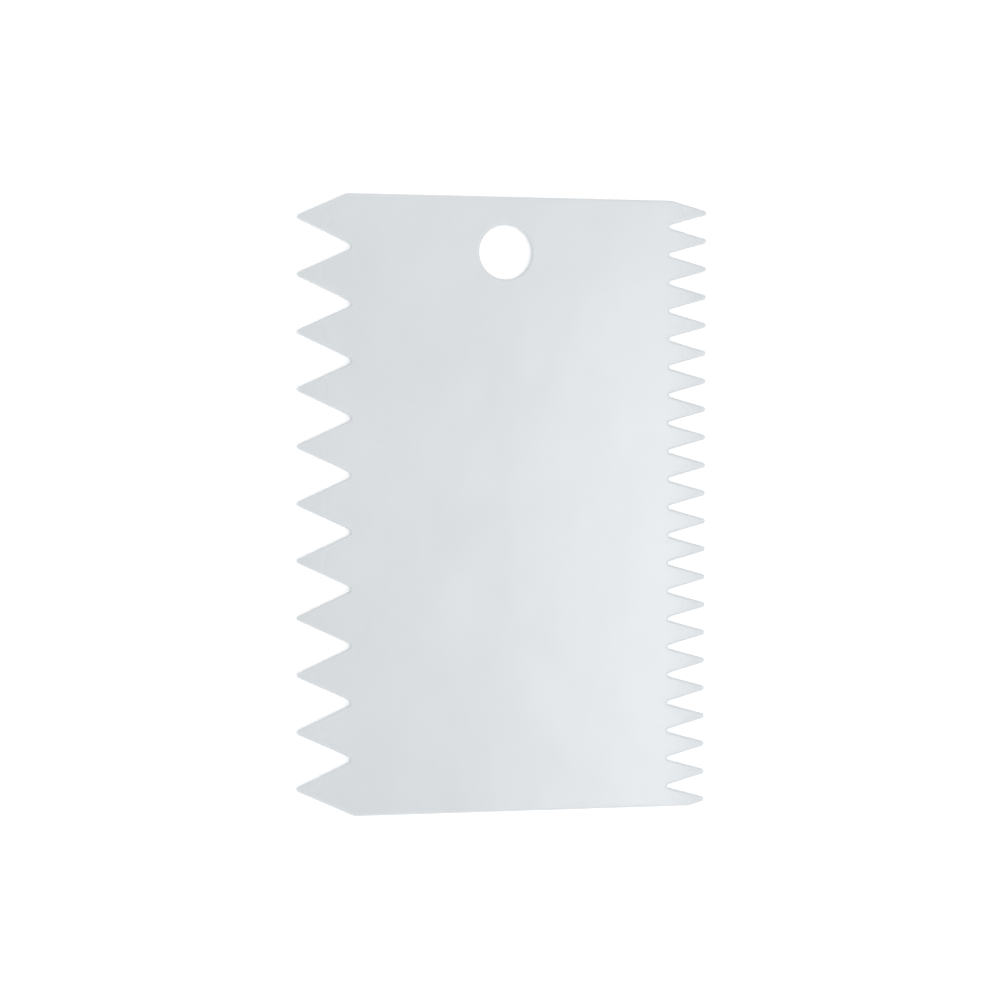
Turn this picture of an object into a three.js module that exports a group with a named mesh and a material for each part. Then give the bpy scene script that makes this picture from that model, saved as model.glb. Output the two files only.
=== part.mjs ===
// Cake comb for marking icing: one flat sheet of stiff white plastic, made in one piece. One long side
// is cut into coarse pointed teeth and the other into fine ones. The two short ends are plain, and a
// round hole near the middle of one end hangs the comb on a hook. Units are millimetres.
// The comb lies flat on its back face: X runs from the coarse teeth to the fine teeth, Y towards the
// end with the hole, and Z up through the sheet. The origin is on the back face, under the middle of
// the comb.
import * as THREE from 'three';

// Sheet
const plateLength = 110;
const plateWidth = 75;
const plateThickness = 1.5;
const cornerRadius = 0.6;
const edgeBevel = 0.35;

// Hang hole, on the centre line of the sheet
const holeDiameter = 9.6;
const holeFromEnd = 9.9;

// Coarse teeth: the depth runs from tip to root as finished, and the first tip is counted from the end
// with the hole
const coarsePitch = 10.07;
const coarseDepth = 9.5;
const coarseTipRadius = 0.5;
const coarseRootRadius = 0.6;
const coarseFirstTip = 4.3;

// Fine teeth, measured in the same way
const finePitch = 5.08;
const fineDepth = 7;
const fineTipRadius = 0.5;
const fineRootRadius = 0.35;
const fineFirstTip = 2.15;

// Faceting of the rounded corners, of the hole and of the bevelled edge
const cornerDivisions = 2;
const holeDivisions = 40;
const bevelDivisions = 1;

const whitePlastic = new THREE.MeshStandardMaterial({ color: 0xdfe3e6, roughness: 0.45, metalness: 0 });

// The sharp corners along one toothed side, from the end without the hole to the end with it, each with
// the radius that rounds it off. The tips point to +X, and as many teeth stand in the row as the length
// has room for.
function toothRow(pitch, depth, tipRadius, rootRadius, firstTip) {
  const halfPitch = pitch / 2;
  const tipLine = plateWidth / 2;
  const rootLine = tipLine - depth;

  // Each flank is the line that touches a tip's circle on one side and the next root's circle on the
  // other. The slope is how far it runs across the comb for each millimetre along it.
  const radii = tipRadius + rootRadius;
  const span = Math.hypot(depth - radii, halfPitch);
  const slope = Math.tan(Math.atan2(depth - radii, halfPitch) + Math.asin(radii / span));
  const sharpTip = tipLine + tipRadius * (Math.hypot(slope, 1) - 1);
  const sharpRoot = sharpTip - halfPitch * slope;

  // The outer flank of a row's last tooth runs out through the end of the comb. Where that tooth stands
  // so far in that a plain land fits between its root and the end, with both corners of the land
  // rounded in full, the flank stops at the root line instead.
  const flankLength = (sharpTip - rootLine) / slope;
  const shortestLand = rootRadius + cornerRadius;
  function endCorners(tipY, endY) {
    const reach = Math.abs(endY - tipY);
    if (reach < flankLength + shortestLand) {
      return [{ x: sharpTip - reach * slope, y: endY, radius: cornerRadius }];
    }
    return [
      { x: rootLine, y: tipY + Math.sign(endY - tipY) * flankLength, radius: rootRadius },
      { x: rootLine, y: endY, radius: cornerRadius },
    ];
  }

  const teeth = Math.floor((plateLength - firstTip - tipRadius) / pitch) + 1;
  const topTip = plateLength / 2 - firstTip;
  const bottomTip = topTip - (teeth - 1) * pitch;
  const corners = endCorners(bottomTip, -plateLength / 2).reverse();
  for (let tooth = 0; tooth < teeth; tooth++) {
    const tipY = bottomTip + tooth * pitch;
    if (tooth > 0) {
      corners.push({ x: sharpRoot, y: tipY - halfPitch, radius: rootRadius });
    }
    corners.push({ x: sharpTip, y: tipY, radius: tipRadius });
  }
  corners.push(...endCorners(topTip, plateLength / 2));
  return corners;
}

// A closed outline through sharp corners, listed anticlockwise, each rounded off by an arc of its own
// radius.
function roundedShape(corners) {
  const points = corners.map(({ x, y }) => new THREE.Vector2(x, y));
  const after = (list, index) => list[(index + 1) % list.length];
  const sides = points.map((point, index) => after(points, index).clone().sub(point));
  const halfAngles = sides.map((side, index) => (Math.PI - sides.at(index - 1).angleTo(side)) / 2);

  // An arc cuts the same length off both sides of its corner. Where two arcs need more than the side
  // between them, both are drawn in until they fit.
  const cuts = corners.map(({ radius }, index) => radius / Math.tan(halfAngles[index]));
  const room = sides.map((side, index) => Math.min(1, side.length() / (cuts[index] + after(cuts, index))));

  const shape = new THREE.Shape();
  points.forEach((point, index) => {
    const cut = cuts[index] * Math.min(room[index], room.at(index - 1));
    const radius = cut * Math.tan(halfAngles[index]);
    const arcStart = sides.at(index - 1).clone().setLength(-cut);
    const arcEnd = sides[index].clone().setLength(cut);
    const toCentre = arcStart.clone().add(arcEnd).setLength(radius / Math.sin(halfAngles[index]));
    const centre = toCentre.clone().add(point);
    const startAngle = arcStart.sub(toCentre).angle();
    const endAngle = arcEnd.sub(toCentre).angle();
    const turnsRight = sides.at(index - 1).cross(sides[index]) < 0;
    shape.absarc(centre.x, centre.y, radius, startAngle, endAngle, turnsRight);
  });
  return shape;
}

// The whole comb is one sheet: its toothed outline, the hole through it, and a small bevel along every
// edge.
function combPlate() {
  const fineSide = toothRow(finePitch, fineDepth, fineTipRadius, fineRootRadius, fineFirstTip);
  const coarseSide = toothRow(coarsePitch, coarseDepth, coarseTipRadius, coarseRootRadius, coarseFirstTip);
  const coarseMirrored = coarseSide.map((corner) => ({ ...corner, x: -corner.x })).reverse();
  const outline = roundedShape([...fineSide, ...coarseMirrored]);

  const holeY = plateLength / 2 - holeFromEnd;
  const rim = new THREE.EllipseCurve(0, holeY, holeDiameter / 2, holeDiameter / 2);
  outline.holes.push(new THREE.Path(rim.getPoints(holeDivisions)));

  const geometry = new THREE.ExtrudeGeometry(outline, {
    depth: plateThickness - 2 * edgeBevel,
    curveSegments: cornerDivisions,
    bevelThickness: edgeBevel,
    bevelSize: edgeBevel,
    bevelOffset: -edgeBevel,
    bevelSegments: bevelDivisions,
  });
  const mesh = new THREE.Mesh(geometry, whitePlastic);
  mesh.name = 'comb_plate';
  mesh.position.z = edgeBevel;
  return mesh;
}

const comb = new THREE.Group();
comb.name = 'cake_comb';
comb.add(combPlate());

export default comb;
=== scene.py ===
import math

import bpy
from mathutils import Euler, Matrix, Vector, geometry, kdtree


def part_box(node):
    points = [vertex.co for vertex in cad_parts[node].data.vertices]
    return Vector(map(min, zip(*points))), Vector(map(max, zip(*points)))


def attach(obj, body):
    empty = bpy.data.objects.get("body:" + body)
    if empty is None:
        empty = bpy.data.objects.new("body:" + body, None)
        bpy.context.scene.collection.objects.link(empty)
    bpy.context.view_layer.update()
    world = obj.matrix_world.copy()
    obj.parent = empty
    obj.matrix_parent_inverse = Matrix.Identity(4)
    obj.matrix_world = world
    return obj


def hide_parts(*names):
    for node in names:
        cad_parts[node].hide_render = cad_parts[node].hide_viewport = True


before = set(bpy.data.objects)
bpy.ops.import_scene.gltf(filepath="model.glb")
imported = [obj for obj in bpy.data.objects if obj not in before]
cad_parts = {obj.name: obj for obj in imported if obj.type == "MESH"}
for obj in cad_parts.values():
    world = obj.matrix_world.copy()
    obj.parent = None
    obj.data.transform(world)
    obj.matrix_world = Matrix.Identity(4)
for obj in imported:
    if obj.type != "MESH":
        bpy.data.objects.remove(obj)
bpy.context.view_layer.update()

# Comb sheet
# One flat sheet of stiff white plastic, moulded in one piece with its coarse teeth, its fine teeth and
# its hang hole, so nothing is fixed to it. Every edge is softly rounded over, and both faces have a satin
# finish that is faintly clouded inside and lightly scuffed by use.
MILLIMETRE = 0.001

plate_low, plate_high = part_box("comb_plate")
plate_width, plate_length, plate_thickness = plate_high - plate_low
corner_radius = 0.6 * MILLIMETRE
edge_radius = 0.35 * MILLIMETRE
hole_radius = 4.8 * MILLIMETRE
hole_from_end = 9.9 * MILLIMETRE
hole_centre = Vector((0, plate_high.y - hole_from_end))

# How finely the mesh follows the arcs, the rounded edge, the straight flanks and ends, and the flat faces.
# A narrow flat band next to the rounded edge keeps the faces' shading flat.
arc_step = math.radians(15)
edge_step = math.radians(15)
straight_step = 1.0 * MILLIMETRE
hole_step = 0.5 * MILLIMETRE
face_step = 1.3 * MILLIMETRE
face_margin = 0.45 * MILLIMETRE
flat_band = 0.07 * MILLIMETRE


def tooth_row(pitch, depth, tip_radius, root_radius, first_tip):
    """The sharp corners (x, y, radius) along one toothed side, tips towards +X, and the finished tips.

    They run from the plain end up to the end with the hole. Each flank touches a tip's circle on one side
    and the next root's circle on the other, and the outer flanks run out through the ends of the sheet.
    """
    half_pitch = pitch / 2
    radii = tip_radius + root_radius
    span = math.hypot(depth - radii, half_pitch)
    slope = math.tan(math.atan2(depth - radii, half_pitch) + math.asin(radii / span))
    tip_line = plate_width / 2
    sharp_tip = tip_line + tip_radius * (math.hypot(slope, 1) - 1)
    sharp_root = sharp_tip - half_pitch * slope

    teeth = math.floor((plate_length - first_tip - tip_radius) / pitch) + 1
    top_tip = plate_high.y - first_tip
    bottom_tip = top_tip - (teeth - 1) * pitch
    tips = [Vector((tip_line, bottom_tip + tooth * pitch)) for tooth in range(teeth)]

    corners = [(sharp_tip - (bottom_tip - plate_low.y) * slope, plate_low.y, corner_radius)]
    for tooth, tip in enumerate(tips):
        if tooth > 0:
            corners.append((sharp_root, tip.y - half_pitch, root_radius))
        corners.append((sharp_tip, tip.y, tip_radius))
    corners.append((sharp_tip - first_tip * slope, plate_high.y, corner_radius))
    return corners, tips


def rounded_outline(corners):
    """Points along the closed outline, anticlockwise, each with the direction out of the sheet."""
    points = [Vector((x, y)) for x, y, _ in corners]
    arcs = []
    for index, point in enumerate(points):
        radius = corners[index][2]
        before = (point - points[index - 1]).normalized()
        after = (points[(index + 1) % len(points)] - point).normalized()
        turn = math.atan2(before.cross(after), before.dot(after))
        centre = point + (after - before).normalized() * radius / math.cos(turn / 2)
        steps = math.ceil(abs(turn) / arc_step)
        arc = []
        for step in range(steps + 1):
            out = Matrix.Rotation(turn * step / steps, 2) @ Vector((before.y, -before.x))
            arc.append((centre + out * math.copysign(radius, turn), out))
        arcs.append(arc)

    outline = []
    for index, arc in enumerate(arcs):
        outline.extend(arc)
        start, out = arc[-1]
        end = arcs[(index + 1) % len(arcs)][0][0]
        steps = math.ceil((end - start).length / straight_step)
        outline.extend((start.lerp(end, step / steps), out) for step in range(1, steps))
    return outline


def hole_outline():
    """Points round the hang hole, clockwise, each with the direction out of the sheet."""
    steps = math.ceil(2 * math.pi * hole_radius / hole_step)
    turns = [-2 * math.pi * step / steps for step in range(steps)]
    spokes = [Vector((math.cos(turn), math.sin(turn))) for turn in turns]
    return [(hole_centre + spoke * hole_radius, -spoke) for spoke in spokes]


def edge_profile():
    """The edge from the back face round to the front one, as (distance in from the outline, height)."""
    steps = math.ceil(math.pi / 2 / edge_step)
    front = []
    for step in range(steps + 1):
        angle = math.pi / 2 * step / steps
        inset = edge_radius * (1 - math.cos(angle))
        front.append((inset, plate_thickness - edge_radius * (1 - math.sin(angle))))
    front.append((edge_radius + flat_band, plate_thickness))
    back = [(inset, plate_thickness - height) for inset, height in reversed(front)]
    return back + front


def nearest_of(points):
    """A search tree over flat points, for the distance from any place to the nearest of them."""
    tree = kdtree.KDTree(len(points))
    for index, point in enumerate(points):
        tree.insert(point.to_3d(), index)
    tree.balance()
    return tree


def distance(tree, point):
    """How far a point lies, seen from above, from the nearest one in the tree."""
    return tree.find((point.x, point.y, 0))[2]


def face_triangles(rings):
    """The points of a face between closed rings, the rings' own points first, and its triangles."""
    points = [point for ring in rings for point in ring]
    borders = []
    for ring in rings:
        first = len(borders)
        borders += [(first + step, first + (step + 1) % len(ring)) for step in range(len(ring))]

    border_tree = nearest_of(points)
    row_step = face_step * math.sqrt(3) / 2
    for row in range(math.ceil(plate_length / row_step)):
        for column in range(math.ceil(plate_width / face_step)):
            x = plate_low.x + (column + row % 2 / 2) * face_step
            y = plate_low.y + row * row_step
            point = Vector((x, y))
            if distance(border_tree, point) > face_margin:
                points.append(point)

    # The triangles that span the hang hole are left out. Its ring is a polygon, so the solid face begins
    # at the circle that touches the polygon's sides from within.
    inside_borders = 1
    points, _, triangles, *_ = geometry.delaunay_2d_cdt(points, borders, [], inside_borders, 0)
    hole_rim = hole_radius + edge_radius + flat_band
    open_radius = hole_rim * math.cos(math.pi / len(rings[-1]))
    solid = []
    for triangle in triangles:
        middle = sum((points[corner] for corner in triangle), Vector((0, 0))) / len(triangle)
        if (middle - hole_centre).length > open_radius:
            solid.append(triangle)
    return points, solid


coarse_corners, coarse_tips = tooth_row(
    pitch=10.07 * MILLIMETRE,
    depth=9.5 * MILLIMETRE,
    tip_radius=0.5 * MILLIMETRE,
    root_radius=0.6 * MILLIMETRE,
    first_tip=4.3 * MILLIMETRE,
)
fine_corners, fine_tips = tooth_row(
    pitch=5.08 * MILLIMETRE,
    depth=7 * MILLIMETRE,
    tip_radius=0.5 * MILLIMETRE,
    root_radius=0.35 * MILLIMETRE,
    first_tip=2.15 * MILLIMETRE,
)
coarse_corners = [(-x, y, radius) for x, y, radius in reversed(coarse_corners)]
coarse_tips = [Vector((-tip.x, tip.y)) for tip in coarse_tips]
outlines = [rounded_outline(fine_corners + coarse_corners), hole_outline()]

# The edges are rings of quads round the outline and round the hole. The first ring lies on the back face
# and the last on the front one, and the two faces are filled in between these rings.
vertices = []
faces = []
rim_rings = {0: [], plate_thickness: []}
for outline in outlines:
    profile = edge_profile()
    for level, (inset, height) in enumerate(profile):
        first = len(vertices)
        vertices += [(point - out * inset).to_3d() + Vector((0, 0, height)) for point, out in outline]
        if level > 0:
            for step in range(len(outline)):
                onward = (step + 1) % len(outline)
                below = first - len(outline)
                faces.append((below + step, below + onward, first + onward, first + step))
    for height, start in ((0, first - (len(profile) - 1) * len(outline)), (plate_thickness, first)):
        rim_rings[height].append(range(start, start + len(outline)))

front_rings = [[vertices[index].to_2d() for index in ring] for ring in rim_rings[plate_thickness]]
face_points, triangles = face_triangles(front_rings)
for height, rings in rim_rings.items():
    numbers = dict(enumerate(index for ring in rings for index in ring))
    for triangle in triangles:
        for corner in triangle:
            if corner not in numbers:
                numbers[corner] = len(vertices)
                vertices.append(face_points[corner].to_3d() + Vector((0, 0, height)))
        corners = [numbers[corner] for corner in triangle]
        faces.append(corners if height else corners[::-1])

comb_mesh = bpy.data.meshes.new("comb_sheet")
comb_mesh.from_pydata(vertices, [], faces)
comb_mesh.shade_smooth()
comb = bpy.data.objects.new("comb_sheet", comb_mesh)
bpy.context.scene.collection.objects.link(comb)

# Wear and the painted shade of the rounded edges follow the edges and the tips of the teeth, so each point
# keeps its distance from both.
outline_tree = nearest_of([point for outline in outlines for point, _ in outline])
tip_tree = nearest_of(coarse_tips + fine_tips)
for name, tree in (("edge_distance", outline_tree), ("tip_distance", tip_tree)):
    attribute = comb_mesh.attributes.new(name, "FLOAT", "POINT")
    attribute.data.foreach_set("value", [distance(tree, vertex) for vertex in vertices])


def add_node(tree, kind, inputs=None, **settings):
    """A new node with its settings. Each input is set to a value, or linked where it is a socket."""
    node = tree.nodes.new(kind)
    for name, value in settings.items():
        setattr(node, name, value)
    for name, value in (inputs or {}).items():
        if isinstance(value, bpy.types.NodeSocket):
            tree.links.new(value, node.inputs[name])
        else:
            node.inputs[name].default_value = value
    return node


def new_material(name):
    """An empty material with a Principled shader, its node tree and the shader."""
    material = bpy.data.materials.new(name)
    material.use_nodes = True
    return material, material.node_tree, material.node_tree.nodes["Principled BSDF"]


def math_node(tree, operation, first, second=0.0, third=0.0):
    """One step of arithmetic on numbers or sockets."""
    inputs = {0: first, 1: second, 2: third}
    return add_node(tree, "ShaderNodeMath", inputs, operation=operation).outputs["Value"]


def weighted_sum(tree, start, *terms):
    """A start value plus each socket times its weight."""
    total = start
    for socket, weight in terms:
        total = math_node(tree, "MULTIPLY_ADD", socket, weight, total)
    return total


def ramp_down(tree, value, full, none):
    """1 up to full, falling smoothly to 0 at none."""
    limits = {"Value": value, "From Min": full, "From Max": none, "To Min": 1.0, "To Max": 0.0}
    return add_node(tree, "ShaderNodeMapRange", limits, interpolation_type="SMOOTHSTEP").outputs["Result"]


def noise(tree, place, size, detail=2.0):
    """Noise between 0 and 1 whose patches are about the given size across."""
    inputs = {"Vector": place, "Scale": 1 / size, "Detail": detail}
    return add_node(tree, "ShaderNodeTexNoise", inputs).outputs["Fac"]


def vector_math(tree, operation, first, second):
    """One step of arithmetic on vectors or their sockets."""
    inputs = {0: first, 1: second}
    return add_node(tree, "ShaderNodeVectorMath", inputs, operation=operation).outputs["Vector"]


def drawn_out(tree, place, turn, length, spacing):
    """The place turned in the plane of the sheet and squeezed, so that a pattern turns into strokes."""
    axis = {"Vector": place, "Angle": turn}
    turned = add_node(tree, "ShaderNodeVectorRotate", axis, rotation_type="Z_AXIS").outputs["Vector"]
    stroke = add_node(tree, "ShaderNodeCombineXYZ", {"X": length, "Y": spacing, "Z": spacing})
    return vector_math(tree, "DIVIDE", turned, stroke.outputs["Vector"])


def mix_colour(tree, share, first, second):
    """A colour between two others, where share is the second one's part.

    The node's colour sockets have the same names as its number sockets, so they go by their place.
    """
    node = add_node(tree, "ShaderNodeMix", data_type="RGBA")
    for socket, value in ((node.inputs[0], share), (node.inputs[6], first), (node.inputs[7], second)):
        if isinstance(value, bpy.types.NodeSocket):
            tree.links.new(value, socket)
        else:
            socket.default_value = value
    return node.outputs[2]


def hairline_group():
    """Short straight hairline scratches that all run one way: up to 1 in a scratch, 0 beside it.

    Each cell of a stretched cell pattern holds one scratch through its middle, and Share is the part of the
    cells that have one at all.
    """
    group = bpy.data.node_groups.new("hairline_scratches", "ShaderNodeTree")
    group.interface.new_socket("Place", in_out="INPUT", socket_type="NodeSocketVector")
    for name in ("Turn", "Length", "Spacing", "Width", "Share"):
        group.interface.new_socket(name, in_out="INPUT", socket_type="NodeSocketFloat")
    group.interface.new_socket("Mask", in_out="OUTPUT", socket_type="NodeSocketFloat")

    given = add_node(group, "NodeGroupInput").outputs
    strokes = drawn_out(group, given["Place"], given["Turn"], given["Length"], given["Spacing"])
    pattern = {"Vector": strokes, "Scale": 1.0}
    cells = add_node(group, "ShaderNodeTexVoronoi", pattern, voronoi_dimensions="2D").outputs
    from_middle = vector_math(group, "SUBTRACT", strokes, cells["Position"])
    along, across, _ = add_node(group, "ShaderNodeSeparateXYZ", {"Vector": from_middle}).outputs
    chance, depth, _ = add_node(group, "ShaderNodeSeparateColor", {"Color": cells["Color"]}).outputs

    off_line = math_node(group, "MULTIPLY", math_node(group, "ABSOLUTE", across), given["Spacing"])
    line = ramp_down(group, math_node(group, "DIVIDE", off_line, given["Width"]), 0.2, 0.5)
    ends = ramp_down(group, math_node(group, "ABSOLUTE", along), 0.15, 0.45)
    chosen = math_node(group, "LESS_THAN", chance, given["Share"])
    whole = math_node(group, "MULTIPLY", math_node(group, "MULTIPLY", line, ends), chosen)
    add_node(group, "NodeGroupOutput", {"Mask": math_node(group, "MULTIPLY", whole, depth)})
    return group


# The worn tone is darker than the milky body. Along the rims it stands partly for wear and partly for
# painted shade of the rounded edges.
CLEAR_TONE = (0.691, 0.717, 0.736, 1)
MILKY_TONE = (0.780, 0.809, 0.831, 1)
WORN_AND_SHADED_TONE = (0.704, 0.729, 0.748, 1)

plastic, tree, shader = new_material("satin_white_plastic")
place = add_node(tree, "ShaderNodeTexCoord").outputs["Object"]

# The plastic is a little milkier in some places than in others, in clouds, specks and lengthwise streaks.
# The shift picks the stretch of noise that puts the clouds about where the photographed comb has them.
cloud_shift = Vector((385, 31, 71)) * MILLIMETRE
clouds = noise(tree, vector_math(tree, "ADD", place, cloud_shift), size=34 * MILLIMETRE, detail=3)
mottling = noise(tree, place, size=3.5 * MILLIMETRE, detail=3)
lengthwise = math.pi / 2
streaks = noise(tree, drawn_out(tree, place, lengthwise, 60 * MILLIMETRE, 2.2 * MILLIMETRE), size=1.0)
clouding = weighted_sum(tree, 0.0, (clouds, 0.8), (mottling, 0.1), (streaks, 0.1))

# Use has rubbed the edges and the teeth, and the teeth most at their tips, which roughens them. The same
# mask also darkens their colour. Along the rims that is partly wear and partly painted shade of the rounded
# edges, and on the teeth the colour grows darker towards the tips.
edge_wear_and_shade_width = 0.9 * MILLIMETRE
tip_wear_and_darkening_length = 8.5 * MILLIMETRE
edge_place = add_node(tree, "ShaderNodeAttribute", attribute_name="edge_distance").outputs["Fac"]
tip_place = add_node(tree, "ShaderNodeAttribute", attribute_name="tip_distance").outputs["Fac"]
edge_wear_and_shade = ramp_down(tree, edge_place, 0.1 * MILLIMETRE, edge_wear_and_shade_width)
tip_wear_and_darkening = ramp_down(tree, tip_place, 0.4 * MILLIMETRE, tip_wear_and_darkening_length)
rubbed_and_shaded = weighted_sum(tree, 0.0, (edge_wear_and_shade, 0.45), (tip_wear_and_darkening, 0.6))
uneven = weighted_sum(tree, 0.25, (noise(tree, place, size=7 * MILLIMETRE), 0.5))
wear_and_shade = math_node(tree, "MULTIPLY", rubbed_and_shaded, uneven)

# Washing and stacking have left a few hairline scratches on the faces, each set running its own way. A set
# has its turn in degrees, the length and spacing of its scratches in millimetres, and its share of them.
hairlines = hairline_group()
scratch_width = 0.07 * MILLIMETRE
scratches = 0.0
scratch_sets = ((82, 17, 2.4, 0.3), (7, 13, 3.1, 0.25), (-41, 10, 3.6, 0.3), (38, 21, 4.3, 0.25))
for turn, length, spacing, share in scratch_sets:
    settings = {"Place": place, "Turn": math.radians(turn), "Length": length * MILLIMETRE}
    settings.update({"Spacing": spacing * MILLIMETRE, "Width": scratch_width, "Share": share})
    one_way = add_node(tree, "ShaderNodeGroup", settings, node_tree=hairlines).outputs["Mask"]
    scratches = math_node(tree, "MAXIMUM", one_way, scratches)
on_edge = ramp_down(tree, edge_place, 0.05 * MILLIMETRE, 0.5 * MILLIMETRE)
scratches = math_node(tree, "MULTIPLY", scratches, math_node(tree, "SUBTRACT", 1.0, on_edge))

body_tone = mix_colour(tree, clouding, CLEAR_TONE, MILKY_TONE)
# Painted shade: the rims and the tips of the teeth are darkened in the base colour, on top of their wear.
tone = mix_colour(tree, wear_and_shade, body_tone, WORN_AND_SHADED_TONE)
smoothest = 0.19
roughness = weighted_sum(tree, smoothest, (clouding, 0.1), (wear_and_shade, 0.2), (scratches, 0.15))

# The mould's satin grain, the slight waves of a thin moulding and the scratches
grain = noise(tree, place, size=0.22 * MILLIMETRE)
waves = noise(tree, place, size=18 * MILLIMETRE)
relief = [(grain, 0.004 * MILLIMETRE), (waves, 0.15 * MILLIMETRE), (scratches, -0.003 * MILLIMETRE)]
height = weighted_sum(tree, 0.0, *relief)
bump = add_node(tree, "ShaderNodeBump", {"Height": height, "Distance": 1.0, "Strength": 1.0})

tree.links.new(tone, shader.inputs["Base Color"])
tree.links.new(roughness, shader.inputs["Roughness"])
tree.links.new(bump.outputs["Normal"], shader.inputs["Normal"])
shader.inputs["IOR"].default_value = 1.49

# Light spreads a little inside the plastic before it comes out again, which softens the edges and the tips
shader.inputs["Subsurface Weight"].default_value = 1.0
shader.inputs["Subsurface Radius"].default_value = (1, 1, 1)
shader.inputs["Subsurface Scale"].default_value = 0.35 * MILLIMETRE

comb_mesh.materials.append(plastic)
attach(comb, "root")
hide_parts("comb_plate")

# Floor
# A seamless table of white paper. It is lit a little from below, so that the thin sheet throws hardly any
# shadow on it, and its far rim sweeps up into a dimmer backdrop.
floor_radius = 1.4
sweep_radius = 0.8
glow_height = 0.15
GLOW_TONE = (0.39, 0.39, 0.39, 1)
DARK_TONE = (0, 0, 0, 1)
PAPER_TONE = (0.8, 0.8, 0.8, 1)
floor_turns = 96
sweep_turns = 12

flat_rings = (0.15, 0.5, floor_radius)
floor_profile = [(radius, 0.0) for radius in flat_rings]
for step in range(1, sweep_turns + 1):
    angle = math.pi / 2 * step / sweep_turns
    radius = floor_radius + sweep_radius * math.sin(angle)
    floor_profile.append((radius, sweep_radius * (1 - math.cos(angle))))
floor_vertices = [Vector((0, 0, 0))]
floor_faces = []
for level, (radius, height) in enumerate(floor_profile):
    first = len(floor_vertices)
    for step in range(floor_turns):
        turn = 2 * math.pi * step / floor_turns
        floor_vertices.append(Vector((radius * math.cos(turn), radius * math.sin(turn), height)))
        onward = (step + 1) % floor_turns
        if level == 0:
            floor_faces.append((0, first + step, first + onward))
        else:
            below = first - floor_turns
            floor_faces.append((below + step, first + step, first + onward, below + onward))

floor_mesh = bpy.data.meshes.new("floor")
floor_mesh.from_pydata(floor_vertices, [], floor_faces)
floor_mesh.shade_smooth()
floor = bpy.data.objects.new("floor", floor_mesh)
bpy.context.scene.collection.objects.link(floor)
paper, tree, shader = new_material("table_paper")
place = add_node(tree, "ShaderNodeTexCoord").outputs["Object"]
above_table = add_node(tree, "ShaderNodeSeparateXYZ", {"Vector": place}).outputs["Z"]
glow = mix_colour(tree, ramp_down(tree, above_table, 0.0, glow_height), DARK_TONE, GLOW_TONE)
tree.links.new(glow, shader.inputs["Emission Color"])
shader.inputs["Emission Strength"].default_value = 1.0
shader.inputs["Base Color"].default_value = PAPER_TONE
shader.inputs["Roughness"].default_value = 0.9
shader.inputs["Specular IOR Level"].default_value = 0.0
floor_mesh.materials.append(paper)

# Studio light
# A soft box hangs above the fine teeth, and its reflection brightens that side of the satin face. A low
# panel in front of the plain end lightens the rounded edges that face it. The room adds an even fill.
ROOM_BRIGHTNESS = 0.792


def soft_box(name, place, aim, width, depth, brightness):
    """A rectangular area light of an even brightness, with its middle at place and facing aim."""
    light = bpy.data.lights.new(name, "AREA")
    light.shape = "RECTANGLE"
    light.size = width
    light.size_y = depth
    light.energy = brightness * math.pi * width * depth
    box = bpy.data.objects.new(name, light)
    box.location = place
    box.rotation_euler = (Vector(aim) - Vector(place)).to_track_quat("-Z", "Y").to_euler()
    box.visible_camera = False
    bpy.context.scene.collection.objects.link(box)


soft_box("key_box", place=(0.43, -0.10, 1.2), aim=(0.43, -0.10, 0), width=0.18, depth=0.50, brightness=8.8)
soft_box("front_panel", place=(0.52, -1.93, 0.85), aim=(0, 0, 0), width=0.75, depth=1.2, brightness=1.5)

room = bpy.data.worlds.new("studio_room")
room.use_nodes = True
room.node_tree.nodes["Background"].inputs["Color"].default_value = (1, 1, 1, 1)
room.node_tree.nodes["Background"].inputs["Strength"].default_value = ROOM_BRIGHTNESS
bpy.context.scene.world = room
bpy.context.scene.view_settings.view_transform = "Standard"

# Camera
# It looks down on the comb from a little to the side of the coarse teeth, as the photograph does.
camera_distance = 0.4726
camera_turn = math.radians(13.5)
camera_tilt = math.radians(1.593)
camera_roll = math.radians(-0.167)
aim_across = -0.000593
aim_along = 0.000878
image_pixels = 1000
pixels_per_metre = 5577.95

camera_data = bpy.data.cameras.new("camera")
camera_data.sensor_width = 36
camera_data.lens = camera_data.sensor_width * pixels_per_metre * camera_distance / image_pixels
camera_data.clip_start = 0.01
camera = bpy.data.objects.new("camera", camera_data)
camera.rotation_mode = "ZXY"
camera.rotation_euler = Euler((-camera_tilt, -camera_turn, -camera_roll), "ZXY")
camera.location = camera.rotation_euler.to_matrix() @ Vector((aim_across, aim_along, camera_distance))
bpy.context.scene.collection.objects.link(camera)
bpy.context.scene.camera = camera
